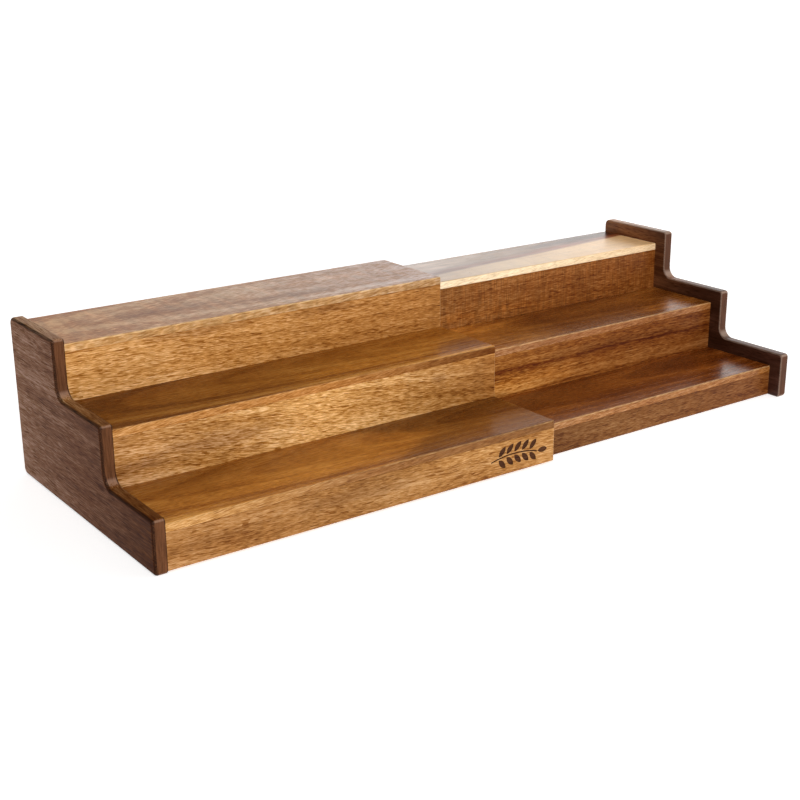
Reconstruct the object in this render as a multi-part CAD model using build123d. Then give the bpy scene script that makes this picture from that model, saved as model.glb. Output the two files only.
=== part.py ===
from build123d import *

import os
from math import cos, radians, sin
from typing import NamedTuple

# Expanding three-step spice rack, in millimetres, drawn out as far as it goes.
# +X runs along the shelves, -Y is the front, +Z is up. The origin is on the table under the
# centre of the rack. Two stepped shells of boards nest one in the other, each with a stepped
# panel at its outer end. The inner shell slides along X inside the outer one.

# Whole rack
LENGTH = 596.0
DEPTH = 220.0
OUTER_HALF_LENGTH = 330.0    # left panel's outer face to the open end of the outer shell
OVERLAP = 62.0               # length of inner shell still inside the outer one

# Stepped outline shared by both end panels
STEP_COUNT = 3
FIRST_STEP_HEIGHT = 38.0
STEP_RISE = 41.25
STEP_RUN = 70.5

# Boards
PANEL_THICKNESS = 9.5
RISER_THICKNESS = 9.5
TREAD_THICKNESS = 6.0
RIB_THICKNESS = 9.5
PANEL_LIP = 4.0              # panel edge above the outer treads
PANEL_REVEAL = 0.5           # panel edge in front of the outer risers
SLIDE_GAP = 1.9              # air between the two shells, above and in front
OUTER_FOOT_GAP = 2.0         # bottom risers clear the table by these
INNER_FOOT_GAP = 0.5

# Joinery
HOUSING = 3.0                # boards enter their panel by this much
TONGUE_WIDTH = 3.5
TONGUE_HEIGHT = 2.5
DOWEL_RADIUS = 2.5
DOWEL_IN_PANEL = 4.0         # past the bottom of the housing
DOWEL_IN_RISER = 16.0        # past the bottom of the housing
DOWEL_SPACING = 11.0
RIB_INSET = 14.0             # rib behind the free end of the inner shell
RIB_BACK_INSET = 12.0

# Panel corners and edges
PANEL_NOSE_RADIUS = 3.0
PANEL_INSIDE_RADIUS = 9.0
PANEL_BACK_RADIUS = 5.0
PANEL_OUTER_EDGE_RADIUS = 2.5
PANEL_INNER_EDGE_RADIUS = 1.5

# Board edges
TREAD_NOSE_RADIUS = 1.2
BOARD_END_RADIUS = 1.2
SEAM_RADIUS = 0.4

# Leaf sprig branded into the outer bottom riser
BRAND_DEPTH = 0.35
BRAND_LENGTH = 54.0
BRAND_END_INSET = 7.0        # sprig's tip before the open end of the riser
BRAND_HEIGHT = 13.5          # stem's ends above the table
STEM_RISE = 3.0
STEM_WIDTH = 1.1
LEAF_PAIRS = 5
LEAF_GAP = 0.7               # between the stem and each leaf
LEAF_LENGTH = 9.5
LEAF_WIDTH = 4.4
LEAF_ANGLE = 48.0

FRONT = -DEPTH / 2
BACK = DEPTH / 2
LEFT = -LENGTH / 2
RIGHT = LENGTH / 2
LEFT_PANEL_FACE = LEFT + PANEL_THICKNESS
RIGHT_PANEL_FACE = RIGHT - PANEL_THICKNESS
OUTER_OPEN_END = LEFT + OUTER_HALF_LENGTH
TIERS = ("bottom", "middle", "top")


class Shell(NamedTuple):
    """One set of boards: its ends along X, and how it sits inside the panels' outline."""

    name: str
    left: float
    right: float
    free_end: float
    setback: float
    drop: float
    foot_gap: float


OUTER = Shell(
    name="outer",
    left=LEFT_PANEL_FACE - HOUSING,
    right=OUTER_OPEN_END,
    free_end=OUTER_OPEN_END,
    setback=PANEL_REVEAL,
    drop=PANEL_LIP,
    foot_gap=OUTER_FOOT_GAP,
)
INNER = Shell(
    name="inner",
    left=OUTER_OPEN_END - OVERLAP,
    right=RIGHT_PANEL_FACE + HOUSING,
    free_end=OUTER_OPEN_END - OVERLAP,
    setback=PANEL_REVEAL + RISER_THICKNESS + SLIDE_GAP,
    drop=PANEL_LIP + TREAD_THICKNESS + SLIDE_GAP,
    foot_gap=INNER_FOOT_GAP,
)


def block(x, y, z):
    """A box from its lowest and highest place along each axis."""
    low_corner, size = zip(*((low, high - low) for low, high in (x, y, z)))
    return Pos(*low_corner) * Box(*size, align=Align.MIN)


def riser_front(shell, tier):
    """Y of a riser's front face."""
    return FRONT + shell.setback + tier * STEP_RUN


def riser_back(shell, tier):
    """Y of a riser's back face."""
    return riser_front(shell, tier) + RISER_THICKNESS


def tread_top(shell, tier):
    """Z of a tread's upper face."""
    return FIRST_STEP_HEIGHT + tier * STEP_RISE - shell.drop


def tread_underside(shell, tier):
    """Z of a tread's lower face."""
    return tread_top(shell, tier) - TREAD_THICKNESS


def riser_foot(shell, tier):
    """Z where a riser starts: just off the table, or on the tread in front of it."""
    return shell.foot_gap if tier == 0 else tread_top(shell, tier - 1)


def tongue(shell, tier, z):
    """The strip along a riser's middle that enters a tread."""
    middle = riser_front(shell, tier) + RISER_THICKNESS / 2
    return block((shell.left, shell.right), (middle - TONGUE_WIDTH / 2, middle + TONGUE_WIDTH / 2), z)


def top_tongue(shell, tier):
    """Tongue on a riser's upper edge, let into the tread above."""
    underside = tread_underside(shell, tier)
    return tongue(shell, tier, (underside, underside + TONGUE_HEIGHT))


def foot_tongue(shell, tier):
    """Tongue on a riser's lower edge, let into the tread that it stands on."""
    foot = riser_foot(shell, tier)
    return tongue(shell, tier, (foot - TONGUE_HEIGHT, foot))


def at_free_end(edges, shell):
    """The edges that lie in the plane of a shell's free end."""
    return edges.filter_by_position(Axis.X, shell.free_end, shell.free_end)


def make_tread(shell, tier):
    """A shelf board on top of its riser, reaching back under the next riser."""
    last = tier == STEP_COUNT - 1
    front = riser_front(shell, tier)
    back = BACK if last else riser_back(shell, tier + 1)
    board = block(
        (shell.left, shell.right),
        (front, back),
        (tread_underside(shell, tier), tread_top(shell, tier)),
    )
    front_edges = board.edges().filter_by(Axis.X).filter_by_position(Axis.Y, front, front).sort_by(Axis.Z)
    board = fillet(front_edges[-1], TREAD_NOSE_RADIUS)
    end_edge = at_free_end(board.edges().filter_by(Axis.Y), shell).sort_by(Axis.Z)[-1]
    board = fillet(end_edge, BOARD_END_RADIUS)
    seam_edge = board.edges().filter_by(Axis.X).group_by(Axis.Z)[0].sort_by(Axis.Y)[0]
    board = fillet(seam_edge, SEAM_RADIUS)
    board -= top_tongue(shell, tier)
    if not last:
        board -= foot_tongue(shell, tier + 1)
    return board


def make_riser(shell, tier):
    """An upright board under the front of its tread."""
    board = block(
        (shell.left, shell.right),
        (riser_front(shell, tier), riser_back(shell, tier)),
        (riser_foot(shell, tier), tread_underside(shell, tier)),
    )
    front = riser_front(shell, tier)
    end_edge = at_free_end(board.edges().filter_by(Axis.Z), shell).sort_by(Axis.Y)[0]
    board = fillet(end_edge, BOARD_END_RADIUS)
    long_edges = board.edges().filter_by(Axis.X).filter_by_position(Axis.Y, front, front).sort_by(Axis.Z)
    board = fillet(long_edges[-1], SEAM_RADIUS)
    board += top_tongue(shell, tier)
    if tier > 0:
        board += foot_tongue(shell, tier)
    return board


def stepped_outline(fronts, tops, back):
    """Corners of a staircase from the table up, as (y, z), starting at its front foot."""
    corners = [(fronts[0], 0), (back, 0), (back, tops[-1])]
    for tier in reversed(range(STEP_COUNT)):
        corners.append((fronts[tier], tops[tier]))
        if tier > 0:
            corners.append((fronts[tier], tops[tier - 1]))
    return corners


def plate(outline, left, thickness):
    """A plate with a closed outline in the YZ plane, from x = left."""
    face = make_face(Plane.YZ * outline)
    return Pos(left, 0, 0) * extrude(face, amount=thickness, dir=(1, 0, 0))


def make_panel(left, outer_side):
    """A stepped end panel with rounded corners; outer_side is -1 or +1 along X."""
    fronts = [FRONT + tier * STEP_RUN for tier in range(STEP_COUNT)]
    tops = [FIRST_STEP_HEIGHT + tier * STEP_RISE for tier in range(STEP_COUNT)]
    corners = stepped_outline(fronts, tops, BACK)
    steps = [PANEL_NOSE_RADIUS, PANEL_INSIDE_RADIUS] * (STEP_COUNT - 1) + [PANEL_NOSE_RADIUS]
    radii = [PANEL_NOSE_RADIUS, PANEL_BACK_RADIUS, PANEL_BACK_RADIUS] + steps
    panel = plate(FilletPolyline(*corners, radius=radii, close=True), left, PANEL_THICKNESS)
    sides = panel.faces().filter_by(Axis.X).sort_by(Axis.X)
    outer, inner = (sides[0], sides[-1]) if outer_side < 0 else (sides[-1], sides[0])
    panel = fillet(outer.edges(), PANEL_OUTER_EDGE_RADIUS)
    inner_edges = panel.edges().filter_by_position(Axis.X, inner.center().X, inner.center().X)
    return fillet(inner_edges, PANEL_INNER_EDGE_RADIUS)


def make_rib():
    """The stepped rib that carries the inner shell near its free end."""
    fronts = [riser_back(INNER, tier) for tier in range(STEP_COUNT)]
    tops = [tread_underside(INNER, tier) for tier in range(STEP_COUNT)]
    corners = stepped_outline(fronts, tops, BACK - RIB_BACK_INSET)
    return plate(Polyline(*corners, close=True), INNER.left + RIB_INSET, RIB_THICKNESS)


def make_dowels(shell, panel_end, into_riser):
    """Two dowels in the housed end of each riser; into_riser is the way they point along X."""
    start = panel_end - into_riser * DOWEL_IN_PANEL
    length = DOWEL_IN_PANEL + DOWEL_IN_RISER
    dowels = []
    for tier in range(STEP_COUNT):
        y = riser_front(shell, tier) + RISER_THICKNESS / 2
        middle = (riser_foot(shell, tier) + tread_underside(shell, tier)) / 2
        for z in (middle - DOWEL_SPACING / 2, middle + DOWEL_SPACING / 2):
            pin = Cylinder(DOWEL_RADIUS, length, align=(Align.CENTER, Align.CENTER, Align.MIN))
            dowels.append(Pos(start, y, z) * Rot(0, 90 * into_riser, 0) * pin)
    return dowels


def make_leaf(base_x, base_z, angle):
    """A pointed oval from its base along an angle in the XZ plane."""
    tip_x = base_x + LEAF_LENGTH * cos(radians(angle))
    tip_z = base_z + LEAF_LENGTH * sin(radians(angle))
    upper = SagittaArc((base_x, base_z), (tip_x, tip_z), LEAF_WIDTH / 2)
    lower = SagittaArc((tip_x, tip_z), (base_x, base_z), LEAF_WIDTH / 2)
    return make_face([upper, lower])


def make_stem(length):
    """A bowed strip of even width with square ends."""
    half = STEM_WIDTH / 2
    top_line = SagittaArc((0, half), (length, half), STEM_RISE)
    bottom_line = SagittaArc((length, -half), (0, -half), -STEM_RISE)
    ends = [Line((length, half), (length, -half)), Line((0, -half), (0, half))]
    return make_face([top_line, bottom_line, *ends])


def make_brand():
    """A sprig of leaves as thin solids that sink into the outer bottom riser's face."""
    stem_length = BRAND_LENGTH - LEAF_LENGTH - LEAF_GAP
    middle_line = SagittaArc((0, 0), (stem_length, 0), STEM_RISE)
    faces = [make_stem(stem_length), make_leaf(stem_length + LEAF_GAP, 0, 0)]
    for pair in range(LEAF_PAIRS):
        base = middle_line @ ((pair + 1) / (LEAF_PAIRS + 1))
        for side in (1, -1):
            base_z = base.Y + side * (STEM_WIDTH / 2 + LEAF_GAP)
            faces.append(make_leaf(base.X, base_z, side * LEAF_ANGLE))
    riser_face = Plane(
        origin=(OUTER_OPEN_END - BRAND_END_INSET - BRAND_LENGTH, riser_front(OUTER, 0), BRAND_HEIGHT),
        x_dir=(1, 0, 0),
        z_dir=(0, -1, 0),
    )
    return [extrude(riser_face * face, amount=BRAND_DEPTH, dir=(0, 1, 0)) for face in faces]


def make_shell(shell):
    """All the boards of one shell, by node name."""
    boards = {}
    for tier, tier_name in enumerate(TIERS):
        boards[f"{shell.name}_riser_{tier_name}"] = make_riser(shell, tier)
        boards[f"{shell.name}_tread_{tier_name}"] = make_tread(shell, tier)
    return boards


def join_to_panel(panel, boards, dowels):
    """Cut the housings and dowel holes, and return the panel and its boards."""
    for board in boards.values():
        panel -= board
    for dowel in dowels:
        panel -= dowel
    for name in boards:
        if "riser" in name:
            boards[name] -= dowels
    return panel, boards


def make_rack():
    """Every node's shape by name."""
    outer_boards = make_shell(OUTER)
    inner_boards = make_shell(INNER)
    left_dowels = make_dowels(OUTER, OUTER.left, 1)
    right_dowels = make_dowels(INNER, INNER.right, -1)
    left_panel, outer_boards = join_to_panel(make_panel(LEFT, -1), outer_boards, left_dowels)
    right_panel, inner_boards = join_to_panel(
        make_panel(RIGHT_PANEL_FACE, 1), inner_boards, right_dowels
    )
    outer_boards["outer_riser_bottom"] -= make_brand()
    return {
        "left_end_panel": left_panel,
        "right_end_panel": right_panel,
        **outer_boards,
        **inner_boards,
        "inner_support_rib": make_rib(),
        "left_panel_dowels": Compound(children=left_dowels),
        "right_panel_dowels": Compound(children=right_dowels),
    }


os.makedirs("parts", exist_ok=True)
for node, shape in make_rack().items():
    export_step(shape, f"parts/{node}.step")
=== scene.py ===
"""Looks of an expanding three-step spice rack: lacquered acacia boards under soft studio light."""

import math
from dataclasses import dataclass

import bpy
from mathutils import Matrix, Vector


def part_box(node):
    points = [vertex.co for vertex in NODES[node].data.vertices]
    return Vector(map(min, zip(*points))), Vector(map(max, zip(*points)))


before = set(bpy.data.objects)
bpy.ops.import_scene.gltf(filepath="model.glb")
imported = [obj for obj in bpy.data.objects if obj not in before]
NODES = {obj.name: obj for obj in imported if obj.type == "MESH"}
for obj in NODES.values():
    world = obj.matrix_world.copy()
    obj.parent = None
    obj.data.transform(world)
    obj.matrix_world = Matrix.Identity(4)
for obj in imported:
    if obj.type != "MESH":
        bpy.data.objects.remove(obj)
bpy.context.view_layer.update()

MM_PER_M = 1000.0

# The engraved sprig near the right end of the outer bottom riser, in mm.
MARK_LENGTH = 56.0
MARK_HEIGHT = 20.0
MARK_END_INSET = 6.0         # from the riser's right end
MARK_RISE = 15.8             # its middle, above the floor
MARK_DEPTH = 0.35
MARK_SCORCH = (0.02, 0.2)    # depths where the scorching starts and is full
MARK_CHAR = (0.14, 0.085, 0.05)      # tint of the scorched wood

# Camera, in metres and degrees: it stands left of the rack's front and looks a little down on it.
CAMERA_PLACE = (-0.6197, -0.8234, 0.3759)
CAMERA_TILT = 71.28          # from straight down
CAMERA_HEADING = -35.52      # from +Y, anticlockwise
CAMERA_ROLL = -0.39
CAMERA_LENS = 61.36          # mm, on a 36 mm sensor

FLOOR_SIZE = 60.0
FLOOR_COLOUR = (0.9, 0.9, 0.9)
FLOOR_ROUGHNESS = 0.9
FLOOR_GLOW = 0.55            # a light table's own light, which keeps the floor white
SKY_BASE = 0.27              # the studio's ceiling and near walls
SKY_COLOUR = (1.0, 0.97, 0.94)       # warm white, as the haze on the shelf boards is
WALL_GLOW = 2.0              # added by the lit wall behind and to the right
WALL_SIDE = 80.0             # where that wall is brightest, degrees from +Y towards +X
WALL_EDGE = (0.3, 0.7)       # cosines of the angle from there where it starts and is full
WALL_TOP = (0.75, 0.35)      # heights of a direction where it has ended and is still full
SKYLINE = 0.9                # a thin white band all round, which hides where the floor ends
SKYLINE_TOP = (0.06, 0.03)   # heights of a direction where that has ended and is still full
KEY_STRENGTH = 2.4           # soft light from the front left
KEY_HEIGHT = 22.0            # degrees above the floor
KEY_SIDE = 20.0              # degrees left of the rack's front
KEY_ANGLE = 50.0             # its apparent size, which sets how soft it is

# Wood, the same in every board. Sizes are in mm, along the grain and twice across it.
WAVE_SIZE = (120.0, 36.0, 36.0)      # the grain's sideways wander
FIBRE_SIZE = (60.0, 1.8, 1.8)
PATCH_SIZE = (90.0, 22.0, 22.0)
CROWD_SIZE = (45.0, 9.0, 9.0)        # groups of pores
RAGGED_SIZE = (30.0, 5.0, 5.0)       # the outlines of stains
CROSS_SIZE = (0.9, 16.0, 16.0)
FIGURE_SIZE = (7.0, 45.0, 45.0)
UPRIGHT_SIZE = (9.0, 0.8, 14.0)      # streaks up and down a panel's front faces
HEART_SIZE = (50.0, 7.0, 7.0)        # streaks in heartwood beside sapwood
SEED_STEP = (371.3, 173.7, 119.1)    # moves each board to its own part of the noises
NOISE_MIDDLE = 0.5
TONE_PLACES = (0.1, 0.5, 0.9)        # where dark, middle and light stand on the tone ramp
DRIFT_PLACES = (0.02, 0.5, 0.98)     # where a board's three tints stand along it
EDGE_FIBRE = 0.5             # long streaks on the faces that look forward
PORE_START = 0.74            # noise value above which a pore opens, with a pore share of 0
PORE_REACH = 0.14            # how much a pore share of 1 lowers that
PORE_BLUR = 0.04
PORE_WEIGHTS = (0.72, 0.95, 1.3)     # how much pores take from red, green and blue
PORE_FLOOR = 0.02            # what they always leave
CLOUD_WEIGHTS = (0.85, 1.0, 1.1)     # how much the clouds take from, or add to, red, green and blue
CLOUD_RAGGED = 2.4
CLOUD_EDGE = (1.3, 0.2)      # distances, in cloud sizes, where it has ended and is full
EDGE_BREAK = 3.0             # how much the grain breaks up the rounded edges' colour, a painted highlight on most boards
RELIEF = 0.06                # mm, from the deepest pore to the highest fibre
RELIEF_STRENGTH = 0.4
RELIEF_GRAIN = 0.7           # the grain's share of the relief, beside the pores
ROUGHNESS_SPREAD = 0.3
FIGURE_SPREAD = 2.0          # tint for a mottle or a cross of 1

# Parts of the surface normal.
FACING = (0.4, 0.85)         # towards an axis: where a face starts to count and counts fully
ROUNDED = (0.985, 0.9)       # the largest part: on flat faces and well into rounded edges
TURNED = (0.1, 0.3)          # towards the way that the edges with their own colour look
CORNER = (0.35, 0.65)        # the lesser of forward and up, on a panel's rounded corners, where the highlight is painted

# Other marks, in mm from the board's middle.
UPRIGHT_SPREAD = 1.6
# How much of the painted highlight a panel's rounded corners get.
CORNER_HIGHLIGHT_SHARE = 0.3
CREST_RISE = (35.0, 50.0)    # heights where a panel's topmost face starts to get its painted sheen and gets it fully
REAR_REACH = (-20.0, 33.0)   # where a shelf board's painted rear shade starts and is full
REAR_TINT = (1.0, 0.97, 0.93)
FLAME_TIP = 75.0             # right of the middle
FLAME_AXIS = -6.0
FLAME_SLOPE = 1.6            # how fast the tongue narrows
FLAME_LINE_START = (-8.0, 4.0)       # a dark line along the tongue, from its edge
FLAME_LINE_END = (45.0, 10.0)
FLAME_LINE_SHARE = 0.5
FLAME_LINE_TINT = (0.55, 0.48, 0.42)
FLAME_CLOSING = (-30.0, 40.0)
FLAME_TINT = (0.55, 0.52, 0.5)
HEART_LINE = -18.0           # where the sapwood ends, at the board's left end
HEART_DRIFT = 26.0           # how much further back it ends at the right end
HEART_BLUR = (-2.5, 3.0)
HEART_FADE = (4.0, 18.0)     # where the dark stripe along that line starts and ends its fade
HEART_SPREAD = 1.6
HEART_STRIPE = (0.33, 0.13, 0.08)
HEART_BROWN = ((1.07, 1.22, 1.75), (0.4, 0.33, 0.33), (0.1, 0.05, 0.04))

# The colour sockets of Blender's Mix node.
MIX_A = 6
MIX_B = 7
MIX_RESULT = 2


# ---------------------------------------------------------------- nodes


class Graph:
    """Short calls for making and joining the nodes of a material or the world."""

    def __init__(self, tree, shader):
        self.tree = tree
        self.shader = shader

    def put(self, socket, value):
        """Join a socket to an output, or set it to a number or colour."""
        if isinstance(value, bpy.types.NodeSocket):
            self.tree.links.new(value, socket)
        else:
            socket.default_value = value

    def node(self, kind, **settings):
        """A new node with some of its own settings."""
        made = self.tree.nodes.new(kind)
        for key, value in settings.items():
            setattr(made, key, value)
        return made

    def math(self, operation, *values, clamp=False):
        """A number from one to three numbers."""
        made = self.node("ShaderNodeMath", operation=operation, use_clamp=clamp)
        for socket, value in zip(made.inputs, values):
            self.put(socket, value)
        return made.outputs["Value"]

    def vector(self, operation, a, b=(0, 0, 0)):
        """A vector from two vectors."""
        made = self.node("ShaderNodeVectorMath", operation=operation)
        self.put(made.inputs[0], a)
        self.put(made.inputs[1], b)
        return made.outputs["Vector"]

    def split(self, vector):
        """The three numbers of a vector."""
        made = self.node("ShaderNodeSeparateXYZ")
        self.put(made.inputs[0], vector)
        return list(made.outputs)

    def join(self, x, y, z):
        """A vector from three numbers."""
        made = self.node("ShaderNodeCombineXYZ")
        for socket, value in zip(made.inputs, (x, y, z)):
            self.put(socket, value)
        return made.outputs[0]

    def noise(self, vector, detail=2.0, roughness=0.5):
        """Cloud noise, from about 0.25 to 0.75, that changes over one unit of the vector."""
        made = self.node("ShaderNodeTexNoise")
        self.put(made.inputs["Vector"], vector)
        self.put(made.inputs["Scale"], 1.0)
        self.put(made.inputs["Detail"], detail)
        self.put(made.inputs["Roughness"], roughness)
        return made

    def line_noise(self, value, detail=3.0, roughness=0.55):
        """Noise along a single number."""
        made = self.node("ShaderNodeTexNoise", noise_dimensions="1D")
        self.put(made.inputs["W"], value)
        self.put(made.inputs["Scale"], 1.0)
        self.put(made.inputs["Detail"], detail)
        self.put(made.inputs["Roughness"], roughness)
        return made.outputs[0]

    def band(self, value, low, high):
        """0 at low, 1 at high and smooth between them; low may be the larger."""
        made = self.node("ShaderNodeMapRange", interpolation_type="SMOOTHSTEP")
        self.put(made.inputs["Value"], value)
        self.put(made.inputs["From Min"], low)
        self.put(made.inputs["From Max"], high)
        return made.outputs["Result"]

    def spread(self, value, amount):
        """A noise's difference from its middle, times an amount."""
        return self.math("MULTIPLY", self.math("SUBTRACT", value, NOISE_MIDDLE), amount)

    def mix(self, share, a, b, blend="MIX"):
        """Two colours mixed by a share from 0 to 1."""
        made = self.node("ShaderNodeMix", data_type="RGBA", blend_type=blend)
        self.put(made.inputs["Factor"], share)
        self.put(made.inputs[MIX_A], a)
        self.put(made.inputs[MIX_B], b)
        return made.outputs[MIX_RESULT]

    def tint(self, colour, factor):
        """A colour times another colour, or times a number that a node gives."""
        if not isinstance(factor, bpy.types.NodeSocket):
            factor = (*factor, 1)
        elif factor.type == "VALUE":
            factor = self.join(factor, factor, factor)
        return self.mix(1.0, colour, factor, blend="MULTIPLY")

    def ramp(self, value, places, colours):
        """A colour ramp with a colour at each place."""
        made = self.node("ShaderNodeValToRGB")
        self.put(made.inputs["Fac"], value)
        elements = made.color_ramp.elements
        for place, colour in list(zip(places, colours))[1:-1]:
            elements.new(place).color = (*colour, 1)
        for end in (0, -1):
            elements[end].position = places[end]
            elements[end].color = (*colours[end], 1)
        return made.outputs["Color"]

    def place(self):
        """The point's place in the rack's frame, in mm."""
        place = self.node("ShaderNodeTexCoord").outputs["Object"]
        return self.vector("MULTIPLY", place, (MM_PER_M,) * 3)

    def normal(self):
        """The way that the surface looks."""
        return self.node("ShaderNodeNewGeometry").outputs["Normal"]

    def looking(self, axis, sign):
        """1 where the surface looks along an axis, 0 elsewhere."""
        part = self.split(self.normal())["XYZ".index(axis)]
        return self.band(self.math("MULTIPLY", part, sign), *FACING)


# ---------------------------------------------------------------- stage


def make_camera():
    """The scene's camera at the place and heading above."""
    data = bpy.data.cameras.new("camera")
    data.lens = CAMERA_LENS
    data.clip_end = 2 * FLOOR_SIZE
    camera = bpy.data.objects.new("camera", data)
    bpy.context.scene.collection.objects.link(camera)
    camera.matrix_world = (
        Matrix.Translation(CAMERA_PLACE)
        @ Matrix.Rotation(math.radians(CAMERA_HEADING), 4, "Z")
        @ Matrix.Rotation(math.radians(CAMERA_TILT), 4, "X")
        @ Matrix.Rotation(math.radians(CAMERA_ROLL), 4, "Z")
    )
    bpy.context.scene.camera = camera


def make_floor():
    """A plain white floor, wide enough to meet the white sky far behind the rack."""
    half = FLOOR_SIZE / 2
    mesh = bpy.data.meshes.new("floor")
    corners = [(-half, -half, 0), (half, -half, 0), (half, half, 0), (-half, half, 0)]
    mesh.from_pydata(corners, [], [(0, 1, 2, 3)])
    floor = bpy.data.objects.new("floor", mesh)
    bpy.context.scene.collection.objects.link(floor)
    material = bpy.data.materials.new("floor_white")
    material.use_nodes = True
    shader = material.node_tree.nodes["Principled BSDF"]
    shader.inputs["Base Color"].default_value = (*FLOOR_COLOUR, 1)
    shader.inputs["Roughness"].default_value = FLOOR_ROUGHNESS
    shader.inputs["Specular IOR Level"].default_value = 0.0
    shader.inputs["Emission Color"].default_value = (1, 1, 1, 1)
    shader.inputs["Emission Strength"].default_value = FLOOR_GLOW
    mesh.materials.append(material)


def make_sky():
    """A soft surround: a lit white wall behind the rack, dimmer elsewhere."""
    world = bpy.data.worlds.new("studio")
    world.use_nodes = True
    g = Graph(world.node_tree, world.node_tree.nodes["Background"])
    direction = g.split(g.node("ShaderNodeTexCoord").outputs["Generated"])
    side = math.radians(WALL_SIDE)
    facing = g.math("MULTIPLY", direction[0], math.sin(side))
    facing = g.math("MULTIPLY_ADD", direction[1], math.cos(side), facing)
    behind = g.band(facing, *WALL_EDGE)
    low = g.band(direction[2], *WALL_TOP)
    glow = g.math("MULTIPLY", WALL_GLOW, g.math("MULTIPLY", behind, low))
    skyline = g.math("MULTIPLY", SKYLINE, g.band(direction[2], *SKYLINE_TOP))
    glow = g.math("MAXIMUM", glow, skyline)
    g.put(g.shader.inputs["Strength"], g.math("ADD", SKY_BASE, glow))
    g.shader.inputs["Color"].default_value = (*SKY_COLOUR, 1)
    bpy.context.scene.world = world


def make_key():
    """A wide soft light from the front left, the same all over the floor."""
    data = bpy.data.lights.new("key", "SUN")
    data.energy = KEY_STRENGTH
    data.angle = math.radians(KEY_ANGLE)
    key = bpy.data.objects.new("key", data)
    bpy.context.scene.collection.objects.link(key)
    turn = Matrix.Rotation(math.radians(-KEY_SIDE), 4, "Z")
    key.matrix_world = turn @ Matrix.Rotation(math.radians(90 - KEY_HEIGHT), 4, "X")


# ---------------------------------------------------------------- wood


EVEN = ((1, 1, 1), (1, 1, 1), (1, 1, 1))


@dataclass
class Look:
    """How one board's wood looks. Lengths are in millimetres, colours are display values."""

    dark: tuple
    middle: tuple
    light: tuple
    seed: float
    along: str = "X"                 # the frame's axis that the grain follows
    drift: tuple = EVEN              # tints at the board's left end, middle and right end
    face: tuple = ()                 # colours of the faces that look forward, if they differ
    edge: tuple = EVEN               # tints of the faces that look forward
    edge_grain: float = 1.5          # short dashes on those faces
    crown: tuple = (1, 1, 1)         # tint of a panel's steps' top faces
    crest_sheen: float = 0.0               # how much of the corners' colour its topmost face has, as a painted sheen
    corner_highlight: tuple = (170, 140, 125)  # painted highlight on a panel's rounded corners
    rear: float = 1.0                # painted shade along a shelf board's back, as a tint
    clouds: tuple = ()               # soft stains and paler patches, one partly a painted highlight: (along, across, length, height, depth)
    cross: float = 0.0               # fine lines across the grain
    arris: tuple = (235, 200, 145)   # the rounded edges' colour: a pale painted highlight on most boards, a dark line on the left panel
    arris_share: float = 0.25        # how much of that colour they have
    arris_way: str = "ALL"           # which rounded edges get that colour: ALL, UP or SIDE
    slope: tuple = (0.0, 0.0)        # how far the grain drifts across per unit along it
    pith: tuple = (60.0, -90.0)      # the log's centre line, from the board's middle
    ring: float = 9.0                # usual distance between tone bands
    ring_strength: float = 0.5
    wave: float = 4.0                # how far the grain wanders sideways
    fibre: float = 0.45              # long soft streaks
    grain: float = 1.5               # short fine dashes, light and dark
    grain_size: tuple = (6.0, 0.55)  # their length and width
    patch: float = 0.5               # broad changes of tone
    mottle: float = 0.15             # cross figure that shimmers
    pore: float = 0.6                # darkness of the pores
    pore_size: tuple = (9.0, 0.8)    # their length and width
    pore_share: float = 0.5          # 0 for none, 1 for crowded
    crowding: float = 0.25           # how much the pores keep together
    edge_pore: float = 1.0           # share of the pores that forward faces show
    roughness: float = 0.42
    gloss: float = 0.3               # specular level


@dataclass
class Board:
    """A board's look and the places on it, as node outputs, with X along its grain."""

    look: Look
    share: object                    # 0 at its left end, 1 at its right end
    plain: tuple                     # mm from its middle, as three numbers
    bent: object                     # the same as a vector, bent as the grain is
    seeded: object                   # that one, in the board's own part of the noises


def linear(value):
    """A 0 to 255 display value, made linear by the sRGB curve."""
    part = value / 255
    if value <= 10:
        return part / 12.92
    return ((part + 0.055) / 1.055) ** 2.4


def rgb(colour):
    """A colour in display values, made linear."""
    return tuple(linear(value) for value in colour)


def grain_space(g, look, middle, half_length):
    """The board's places, from the middle and half length of its box in mm."""
    x, y, z = g.split(g.place())
    if look.along == "Y":
        x, y = y, x
    x = g.math("SUBTRACT", x, middle[0])
    y = g.math("SUBTRACT", y, middle[1])
    z = g.math("SUBTRACT", z, middle[2])
    share = g.math("MULTIPLY_ADD", x, 0.5 / half_length, 0.5)
    plain = (x, y, z)
    y = g.math("SUBTRACT", y, g.math("MULTIPLY", x, look.slope[0]))
    z = g.math("SUBTRACT", z, g.math("MULTIPLY", x, look.slope[1]))
    straight = g.join(x, y, z)
    seeded = g.vector("ADD", straight, [look.seed * step for step in SEED_STEP])
    steps = g.vector("DIVIDE", seeded, WAVE_SIZE)
    push = g.noise(steps, detail=2.5).outputs["Color"]
    push = g.vector("SUBTRACT", push, (NOISE_MIDDLE,) * 3)
    push = g.vector("MULTIPLY", push, (0, 2 * look.wave, 2 * look.wave))
    bent = g.vector("ADD", straight, push)
    return Board(look, share, plain, bent, g.vector("ADD", seeded, push))


def streaks(g, board, size, shift=0.0, detail=3.0, roughness=0.6):
    """Noise with its own size along and across the grain; the shift keeps two of them apart."""
    moved = g.vector("ADD", board.seeded, (shift, shift, shift))
    return g.noise(g.vector("DIVIDE", moved, size), detail=detail, roughness=roughness).outputs[0]


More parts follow.
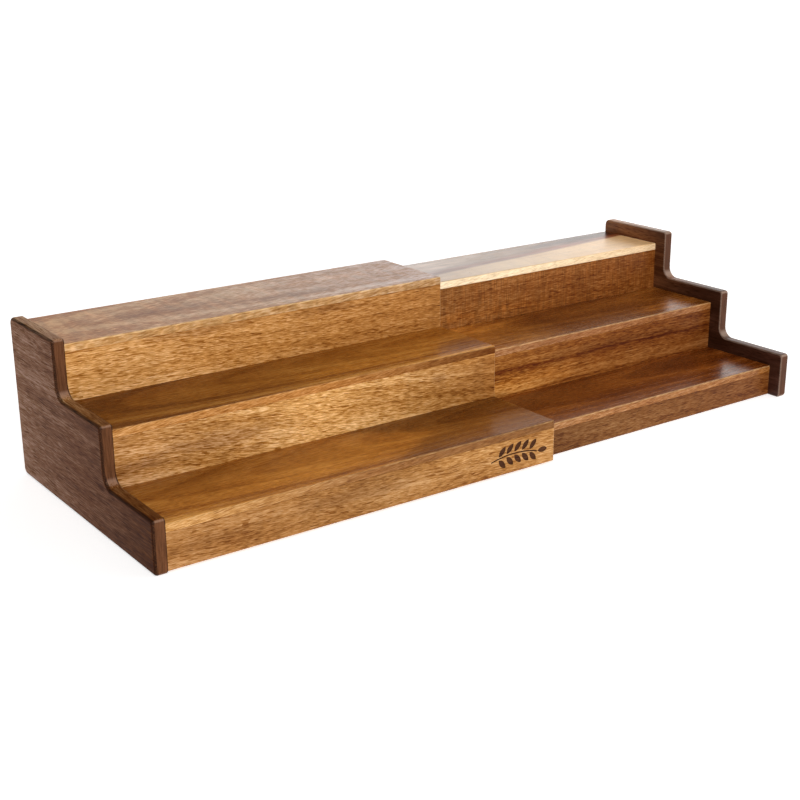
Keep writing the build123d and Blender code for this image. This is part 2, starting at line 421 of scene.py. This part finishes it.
def wood_tone(g, board, fibre, grain):
    """Places on the colour ramps of the board and of its forward faces."""
    look = board.look
    y, z = g.split(board.bent)[1:]
    away_y = g.math("SUBTRACT", y, look.pith[0])
    away_z = g.math("SUBTRACT", z, look.pith[1])
    distance = g.node("ShaderNodeVectorMath", operation="LENGTH")
    g.put(distance.inputs[0], g.join(0.0, away_y, away_z))
    radius = g.math("DIVIDE", distance.outputs["Value"], look.ring)
    rings = g.line_noise(g.math("ADD", radius, look.seed))
    patch = streaks(g, board, PATCH_SIZE, shift=57.0, detail=2.0)
    tone = g.math("ADD", 0.5, g.spread(rings, look.ring_strength))
    tone = g.math("ADD", tone, g.spread(fibre, look.fibre))
    tone = g.math("ADD", tone, g.spread(grain, look.grain))
    tone = g.math("ADD", tone, g.spread(patch, look.patch), clamp=True)
    front = g.math("ADD", 0.5, g.spread(fibre, EDGE_FIBRE))
    front = g.math("ADD", front, g.spread(grain, look.edge_grain), clamp=True)
    return tone, front


def pore_mask(g, board):
    """Thin dark dashes, in loose groups, with fewer on the forward faces."""
    look = board.look
    length, width = look.pore_size
    dash = streaks(g, board, (length, width, width), shift=83.0, detail=0.0)
    crowd = streaks(g, board, CROWD_SIZE, shift=101.0, detail=1.0)
    start = PORE_START - PORE_REACH * look.pore_share
    start = g.math("SUBTRACT", start, g.spread(crowd, look.crowding))
    pore = g.band(dash, start, g.math("ADD", start, PORE_BLUR))
    if look.edge_pore < 1:
        hidden = g.math("MULTIPLY", g.looking("Y", -1), 1 - look.edge_pore)
        pore = g.math("MULTIPLY", pore, g.math("SUBTRACT", 1.0, hidden))
    return pore


def arris_mask(g, way):
    """1 on rounded edges, where the surface looks along no axis, and 0 on flat faces."""
    normal = g.normal()
    x, y, z = g.split(g.vector("ABSOLUTE", normal))
    most = g.math("MAXIMUM", x, g.math("MAXIMUM", y, z))
    mask = g.band(most, *ROUNDED)
    if way == "UP":
        mask = g.math("MULTIPLY", mask, g.band(g.split(normal)[2], *TURNED))
    if way == "SIDE":
        mask = g.math("MULTIPLY", mask, g.band(x, *TURNED))
    return mask


def drift_colour(g, board, tints):
    """A tint that changes along the board, from the tints at its left end, middle and right end."""
    return g.ramp(board.share, DRIFT_PLACES, tints)


def stains_and_highlight(g, colour, board):
    """Soft darker stains, or paler patches where the depth is negative, with ragged outlines; one
    paler patch on the inner middle tread is partly a painted highlight.
    """
    plain = board.plain
    across = g.math("ADD", plain[1], plain[2])
    ragged = g.spread(streaks(g, board, RAGGED_SIZE, shift=47.0), CLOUD_RAGGED)
    for x, y, length, height, depth in board.look.clouds:
        from_x = g.math("DIVIDE", g.math("SUBTRACT", plain[0], x), length)
        from_y = g.math("DIVIDE", g.math("SUBTRACT", across, y), height)
        square = g.math("ADD", g.math("POWER", from_x, 2.0), g.math("POWER", from_y, 2.0))
        far = g.math("SQRT", square)
        inside = g.band(g.math("ADD", far, ragged), *CLOUD_EDGE)
        shade = [max(0.0, 1 - depth * weight) for weight in CLOUD_WEIGHTS]
        colour = g.mix(inside, colour, g.tint(colour, shade))
    return colour


def forward_faces(g, colour, tone, board):
    """The forward faces in their own colours."""
    shades = [rgb(shade) for shade in board.look.face]
    front = g.ramp(tone, TONE_PLACES, shades)
    front = g.tint(front, drift_colour(g, board, board.look.edge))
    return g.mix(g.looking("Y", -1), colour, front)


def edge_lines_and_highlights(g, colour, grain, look):
    """The rounded edges in their own colour, broken up by the grain: on most boards a pale painted
    highlight where the edges catch the light, on the left panel a dark line.
    """
    breakup = g.math("ADD", 1.0, g.spread(grain, EDGE_BREAK))
    on_edge = g.math("MULTIPLY", arris_mask(g, look.arris_way), breakup)
    on_edge = g.math("MULTIPLY", on_edge, look.arris_share)
    return g.mix(on_edge, colour, (*rgb(look.arris), 1))


def lacquer(g, colour, fibre, grain, pore, look):
    """The shader's own settings: colour, gloss and the grain's relief."""
    g.put(g.shader.inputs["Base Color"], colour)
    rough = g.math("ADD", look.roughness, g.spread(fibre, ROUGHNESS_SPREAD))
    g.put(g.shader.inputs["Roughness"], rough)
    g.shader.inputs["Specular IOR Level"].default_value = look.gloss
    bump = g.node("ShaderNodeBump")
    bump.inputs["Strength"].default_value = RELIEF_STRENGTH
    bump.inputs["Distance"].default_value = RELIEF / MM_PER_M
    g.put(bump.inputs["Height"], g.math("SUBTRACT", g.math("MULTIPLY", grain, RELIEF_GRAIN), pore))
    g.put(g.shader.inputs["Normal"], bump.outputs["Normal"])


def wood(name, look, middle, half_length, marks):
    """Solid wood under lacquer, with the board's own marks and some painted highlights and shade
    painted in.
    """
    material = bpy.data.materials.new(name)
    material.use_nodes = True
    g = Graph(material.node_tree, material.node_tree.nodes["Principled BSDF"])
    board = grain_space(g, look, middle, half_length)
    length, width = look.grain_size
    fibre = streaks(g, board, FIBRE_SIZE)
    grain = streaks(g, board, (length, width, width), shift=31.0, detail=2.0)
    tone, front_tone = wood_tone(g, board, fibre, grain)
    shades = [rgb(shade) for shade in (look.dark, look.middle, look.light)]
    colour = g.ramp(tone, TONE_PLACES, shades)
    colour = g.tint(colour, drift_colour(g, board, look.drift))
    if look.face:
        colour = forward_faces(g, colour, front_tone, board)
    colour = stains_and_highlight(g, colour, board)
    for mark in marks:
        colour = mark(g, colour, board)
    if look.cross:
        lines = streaks(g, board, CROSS_SIZE, shift=71.0, detail=2.0)
        lines = g.spread(lines, FIGURE_SPREAD * look.cross)
        colour = g.tint(colour, g.math("ADD", 1.0, lines))
    figure = streaks(g, board, FIGURE_SIZE, shift=11.0)
    figure = g.spread(figure, FIGURE_SPREAD * look.mottle)
    colour = g.tint(colour, g.math("ADD", 1.0, figure))
    pore = pore_mask(g, board)
    shade = [max(PORE_FLOOR, 1 - look.pore * weight) for weight in PORE_WEIGHTS]
    colour = g.mix(pore, colour, g.tint(colour, shade))
    colour = edge_lines_and_highlights(g, colour, grain, look)
    lacquer(g, colour, fibre, grain, pore, look)
    return material


# ---------------------------------------------------------------- the boards' own marks and painted light


def panel_edges(g, colour, board):
    """A panel's sanded edges: streaks up and down its front faces and paler top faces, with a
    painted highlight on its rounded corners and a painted sheen on its topmost face.
    """
    look = board.look
    upright = g.noise(g.vector("DIVIDE", board.seeded, UPRIGHT_SIZE)).outputs[0]
    tone = g.math("ADD", 1.0, g.spread(upright, UPRIGHT_SPREAD))
    middle_tint = look.edge[1]
    front = g.tint(g.tint((*rgb(look.middle), 1), tone), middle_tint)
    colour = g.mix(g.looking("Y", -1), colour, front)
    up = g.looking("Z", 1)
    colour = g.mix(up, colour, g.tint(colour, look.crown))
    crest_sheen = g.math("MULTIPLY", up, g.band(board.plain[2], *CREST_RISE))
    y, z = g.split(g.vector("ABSOLUTE", g.normal()))[1:]
    corner_highlight = g.math("MULTIPLY", g.band(g.math("MINIMUM", y, z), *CORNER), CORNER_HIGHLIGHT_SHARE)
    highlight = g.math("MAXIMUM", corner_highlight, g.math("MULTIPLY", crest_sheen, look.crest_sheen))
    return g.mix(highlight, colour, (*rgb(look.corner_highlight), 1))


def burnt_mark(g, colour, board):
    """Scorched wood inside the engraved sprig."""
    low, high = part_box("outer_riser_bottom")
    x, y, z = g.split(g.place())
    right = high[0] * MM_PER_M - MARK_END_INSET
    far = g.math("ABSOLUTE", g.math("SUBTRACT", x, right - MARK_LENGTH / 2))
    inside = g.math("LESS_THAN", far, MARK_LENGTH / 2)
    rise = g.math("ABSOLUTE", g.math("SUBTRACT", z, MARK_RISE))
    inside = g.math("MULTIPLY", inside, g.math("LESS_THAN", rise, MARK_HEIGHT / 2))
    depth = g.math("SUBTRACT", y, low[1] * MM_PER_M)
    shallow = g.math("LESS_THAN", depth, 3 * MARK_DEPTH)
    burnt = g.math("MULTIPLY", g.band(depth, *MARK_SCORCH), shallow)
    return g.mix(g.math("MULTIPLY", inside, burnt), colour, g.tint(colour, MARK_CHAR))


def flame(g, colour, board):
    """Darker wood that closes in from the board's right end around a paler tongue."""
    x, y = g.split(board.bent)[:2]
    beside = g.math("ABSOLUTE", g.math("SUBTRACT", y, FLAME_AXIS))
    tongue = g.math("MULTIPLY", beside, FLAME_SLOPE)
    edge = g.math("ADD", g.math("SUBTRACT", x, FLAME_TIP), tongue)
    line = g.math("MULTIPLY", g.band(edge, *FLAME_LINE_START), g.band(edge, *FLAME_LINE_END))
    line = g.math("MULTIPLY", line, FLAME_LINE_SHARE)
    lined = g.mix(line, colour, g.tint(colour, FLAME_LINE_TINT))
    closed = g.mix(g.band(edge, *FLAME_CLOSING), lined, g.tint(lined, FLAME_TINT))
    return g.mix(g.looking("Y", -1), closed, colour)


def rear_shade(g, colour, board):
    """Painted shade on a shelf board, a little deeper towards its back, where the riser behind
    shades it.
    """
    back = g.band(board.plain[1], *REAR_REACH)
    return g.mix(back, colour, g.tint(colour, [board.look.rear * tint for tint in REAR_TINT]))


def sapwood(g, colour, board):
    """Heartwood along the board's back, darkest where it meets the pale sapwood."""
    edge = g.math("MULTIPLY_ADD", board.share, HEART_DRIFT, HEART_LINE)
    line = g.math("SUBTRACT", g.split(board.bent)[1], edge)
    heart = g.band(line, *HEART_BLUR)
    cloud = g.spread(streaks(g, board, HEART_SIZE, shift=5.0), HEART_SPREAD)
    dark = g.tint(colour, HEART_STRIPE)
    brown = g.tint(colour, drift_colour(g, board, HEART_BROWN))
    inner = g.mix(g.band(line, *HEART_FADE), dark, brown)
    return g.mix(heart, colour, g.tint(inner, g.math("ADD", 1.0, cloud)))


MARKS = {
    "left_end_panel": (panel_edges,),
    "right_end_panel": (panel_edges,),
    "outer_tread_bottom": (rear_shade, flame),
    "outer_tread_middle": (rear_shade,),
    "inner_tread_bottom": (rear_shade,),
    "inner_tread_middle": (rear_shade,),
    "inner_tread_top": (sapwood,),
    "outer_riser_bottom": (burnt_mark,),
}


def dress(node, look):
    """Give a CAD node its own wood."""
    low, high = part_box(node)
    middle = [(a + b) / 2 * MM_PER_M for a, b in zip(low, high)]
    half_length = (high[0] - low[0]) / 2 * MM_PER_M
    if look.along == "Y":
        middle[0], middle[1] = middle[1], middle[0]
        half_length = (high[1] - low[1]) / 2 * MM_PER_M
    material = wood(node + "_wood", look, middle, half_length, MARKS.get(node, ()))
    for mesh_slot in NODES[node].material_slots:
        mesh_slot.material = material


# ---------------------------------------------------------------- each board's look


# Display colours, dark to light.
GOLDEN = ((132, 72, 12), (196, 136, 70), (240, 186, 126))
AMBER = ((100, 47, 6), (150, 92, 34), (186, 130, 68))
RUSSET = ((88, 34, 3), (138, 80, 34), (178, 122, 78))
UMBER = ((66, 24, 3), (104, 56, 22), (147, 91, 48))
WALNUT = ((42, 14, 2), (66, 38, 26), (92, 65, 58))
EBONY = ((26, 9, 3), (46, 24, 15), (78, 51, 40))
BEECH = ((170, 135, 95), (205, 172, 130), (222, 192, 150))
# DUSK is partly painted reflection: the haze of a bright wall on the outer top tread.
DUSK = ((150, 92, 48), (182, 133, 97), (205, 168, 138))
CREAM = ((170, 128, 84), (208, 170, 122), (226, 192, 146))


def riser(colours, seed, **changes):
    """An upright board's look."""
    settings = {"arris_way": "SIDE", "gloss": 0.1}
    settings.update(changes)
    return Look(*colours, seed, **settings)


def tread(colours, seed, **changes):
    """A shelf board's look, glossier than the uprights."""
    settings = {"arris_way": "UP", "gloss": 0.26, "roughness": 0.26, "grain": 1.1, "pore": 0.3}
    settings.update({"pith": (8.0, -26.0), "slope": (0.02, 0.1), "ring": 8.0, "ring_strength": 1.1})
    settings.update(changes)
    return Look(*colours, seed, **settings)


LOOKS = {
    "left_end_panel": Look(
        *WALNUT, 1.0, along="Y", gloss=0.03, roughness=0.5,
        grain=1.4, grain_size=(11.0, 0.6), fibre=0.3, patch=0.4, mottle=0.05, wave=1.5,
        pore=0.62, pore_share=0.85, pore_size=(13.0, 0.75), crowding=0.1, edge_pore=0.2,
        arris=(30, 15, 9), arris_share=0.72, arris_way="SIDE",
        edge=((1.9, 2.1, 1.7),) * 3, crown=(1.9, 2.1, 1.6), crest_sheen=0.3,
        # Its drift greys and lightens the panel towards its back as painted reflection of the white
        # floor there.
        drift=((1.03, 0.74, 0.24), (2.2, 2.36, 1.87), (3.55, 4.8, 4.8)),
    ),
    "right_end_panel": Look(
        # EBONY stands partly for dark wood and partly for painted shade on the inner face, which
        # the steps around it keep in shadow; its front and top faces are tinted lighter.
        *EBONY, 2.0, along="Y", gloss=0.15, roughness=0.4, grain=0.5, patch=0.9, edge_pore=0.3,
        arris=(150, 128, 112), arris_share=0.35, corner_highlight=(190, 172, 158), crest_sheen=0.4,
        edge=((2.75, 2.6, 1.6),) * 3, crown=(2.0, 2.1, 2.1),
        drift=((1.35, 1.2, 1.2), (1.65, 1.55, 1.3), (5.2, 4.8, 2.4)),
    ),
    "outer_riser_bottom": riser(
        GOLDEN, 3.0, slope=(0, -0.04), patch=0.7,
        clouds=((-20, -2, 60, 7, 0.25), (-130, -6, 40, 5, 0.2), (70, 2, 50, 5, -0.15)),
        drift=((0.54, 0.52, 0.52), (0.53, 0.53, 0.53), (0.67, 0.69, 0.71)),
    ),
    "outer_riser_middle": riser(
        GOLDEN, 4.0, slope=(0, -0.1), patch=0.8, pore_share=0.75, pore_size=(8.0, 0.7), grain=1.7,
        clouds=(
            (-85, -6, 60, 11, 0.4), (-150, -10, 30, 8, 0.35),
            (106, 2, 9, 4, 0.4), (140, 13, 36, 6, -0.3),
        ),
        drift=((0.72, 0.76, 0.9), (1.12, 1.33, 1.58), (0.57, 0.51, 0.41)),
    ),
    "outer_riser_top": riser(
        GOLDEN, 5.0, slope=(0, -0.04), patch=0.4, pore_share=0.75, pore_size=(8.0, 0.7),
        ring_strength=0.4,
        clouds=(
            (58, 12, 30, 7, 0.35), (-55, 12, 55, 5, 0.35),
            (138, 15, 36, 4, 0.4), (-20, -12, 90, 7, -0.12),
        ),
        drift=((1.0, 1.12, 1.35), (0.81, 0.83, 0.83), (0.645, 0.595, 0.5)),
    ),
    "outer_tread_bottom": tread(
        AMBER, 6.0, face=GOLDEN, arris_share=0.15, gloss=0.15, rear=0.63,
        edge=((0.86, 0.95, 1.06), (0.4, 0.35, 0.31), (0.32, 0.27, 0.21)),
        clouds=((-110, 20, 70, 16, 0.15), (-60, -22, 90, 10, -0.15)),
        drift=((1.36, 1.37, 1.14), (1.5, 1.49, 1.14), (1.36, 1.28, 0.86)),
    ),
    "outer_tread_middle": tread(
        AMBER, 7.0, face=GOLDEN, arris_share=0.1, gloss=0.06, rear=0.75,
        edge=((0.77, 0.77, 0.79), (0.78, 0.73, 0.67), (0.23, 0.14, 0.05)),
        clouds=(
            (35, -18, 55, 13, -0.35), (145, -18, 32, 14, 0.5),
            (-95, -20, 60, 10, 0.1), (-120, 15, 40, 12, -0.15),
        ),
        drift=((0.65, 0.56, 0.34), (1.05, 1.06, 0.85), (1.43, 1.43, 1.1)),
    ),
    "outer_tread_top": tread(
        # Its pale grey DUSK colours, greyer still towards the right end, are partly the wood and
        # partly painted reflection of the bright wall behind, which hazes this top board.
        DUSK, 8.0, face=GOLDEN, arris_share=0.35, gloss=0.14, roughness=0.42,
        grain=2.8, edge_grain=1.3, grain_size=(8.0, 1.1), fibre=0.7, ring_strength=1.0,
        patch=1.3, mottle=0.45, pore=0.2,
        edge=((0.83, 0.97, 1.3), (0.77, 0.92, 1.25), (0.72, 0.9, 1.45)),
        clouds=((-70, 5, 50, 9, 0.3), (40, -12, 45, 8, 0.35), (90, 16, 50, 7, -0.25)),
        drift=((0.97, 0.88, 0.67), (0.98, 1.04, 1.02), (1.04, 1.34, 2.0)),
    ),
    "inner_riser_bottom": riser(
        RUSSET, 9.0, drift=((0.44, 0.48, 0.4), (0.62, 0.69, 0.65), (0.56, 0.53, 0.45)),
    ),
    "inner_riser_middle": riser(
        RUSSET, 10.0, ring_strength=1.5, fibre=0.8,
        clouds=((-70, -13, 80, 8, -0.5), (40, 3, 110, 5, 0.3)),
        drift=((1.33, 1.54, 1.13), (0.87, 0.84, 0.56), (0.62, 0.54, 0.39)),
    ),
    "inner_riser_top": riser(
        RUSSET, 11.0, ring_strength=0.3, fibre=0.5, patch=0.3, cross=0.65, pore_share=0.3,
        clouds=((-80, -14, 80, 7, -0.4),),
        drift=((0.88, 1.07, 1.06), (0.82, 0.8, 0.6), (0.68, 0.61, 0.43)),
    ),
    "inner_tread_bottom": tread(
        UMBER, 12.0, face=RUSSET, gloss=0.18, roughness=0.24, ring_strength=0.8, rear=0.83,
        edge=((1.22, 1.75, 2.6), (1.13, 1.35, 1.55), (1.0, 1.16, 1.2)),
        drift=((1.62, 1.55, 0.82), (1.36, 1.18, 0.56), (1.41, 1.16, 0.7)),
    ),
    "inner_tread_middle": tread(
        UMBER, 13.0, face=RUSSET, gloss=0.22, roughness=0.27, ring_strength=0.6,
        edge=((1.23, 1.62, 2.25), (1.12, 1.26, 1.4), (1.05, 1.15, 1.15)),
        # Its first cloud, paler at the right front, is partly lighter wood and partly a painted
        # highlight of the bright wall beyond the right panel.
        clouds=((130, -18, 52, 16, -0.8), (-80, 20, 70, 12, -0.4), (-100, -18, 60, 11, 0.3)),
        drift=((4.2, 5.3, 3.6), (1.22, 1.19, 0.62), (1.52, 1.58, 1.05)),
    ),
    "inner_tread_top": tread(
        CREAM, 14.0, face=CREAM, gloss=0.42, roughness=0.34, grain=0.5, pore=0.1,
        ring_strength=0.3,
        edge=((1.4, 1.8, 2.5), (1.35, 1.65, 2.15), (1.15, 1.25, 1.45)),
        clouds=((115, 26, 60, 12, 0.75), (-90, 24, 70, 12, -0.4), (-115, -10, 60, 14, 0.25)),
        drift=((0.5, 0.5, 0.72), (1.0, 1.07, 1.22), (1.57, 1.54, 1.5)),
    ),
    "inner_support_rib": Look(*RUSSET, 15.0, along="Y"),
    "left_panel_dowels": Look(*BEECH, 16.0),
    "right_panel_dowels": Look(*BEECH, 17.0),
}


make_camera()
make_floor()
make_sky()
make_key()
bpy.context.scene.view_settings.view_transform = "Standard"
for node_name, node_look in LOOKS.items():
    dress(node_name, node_look)
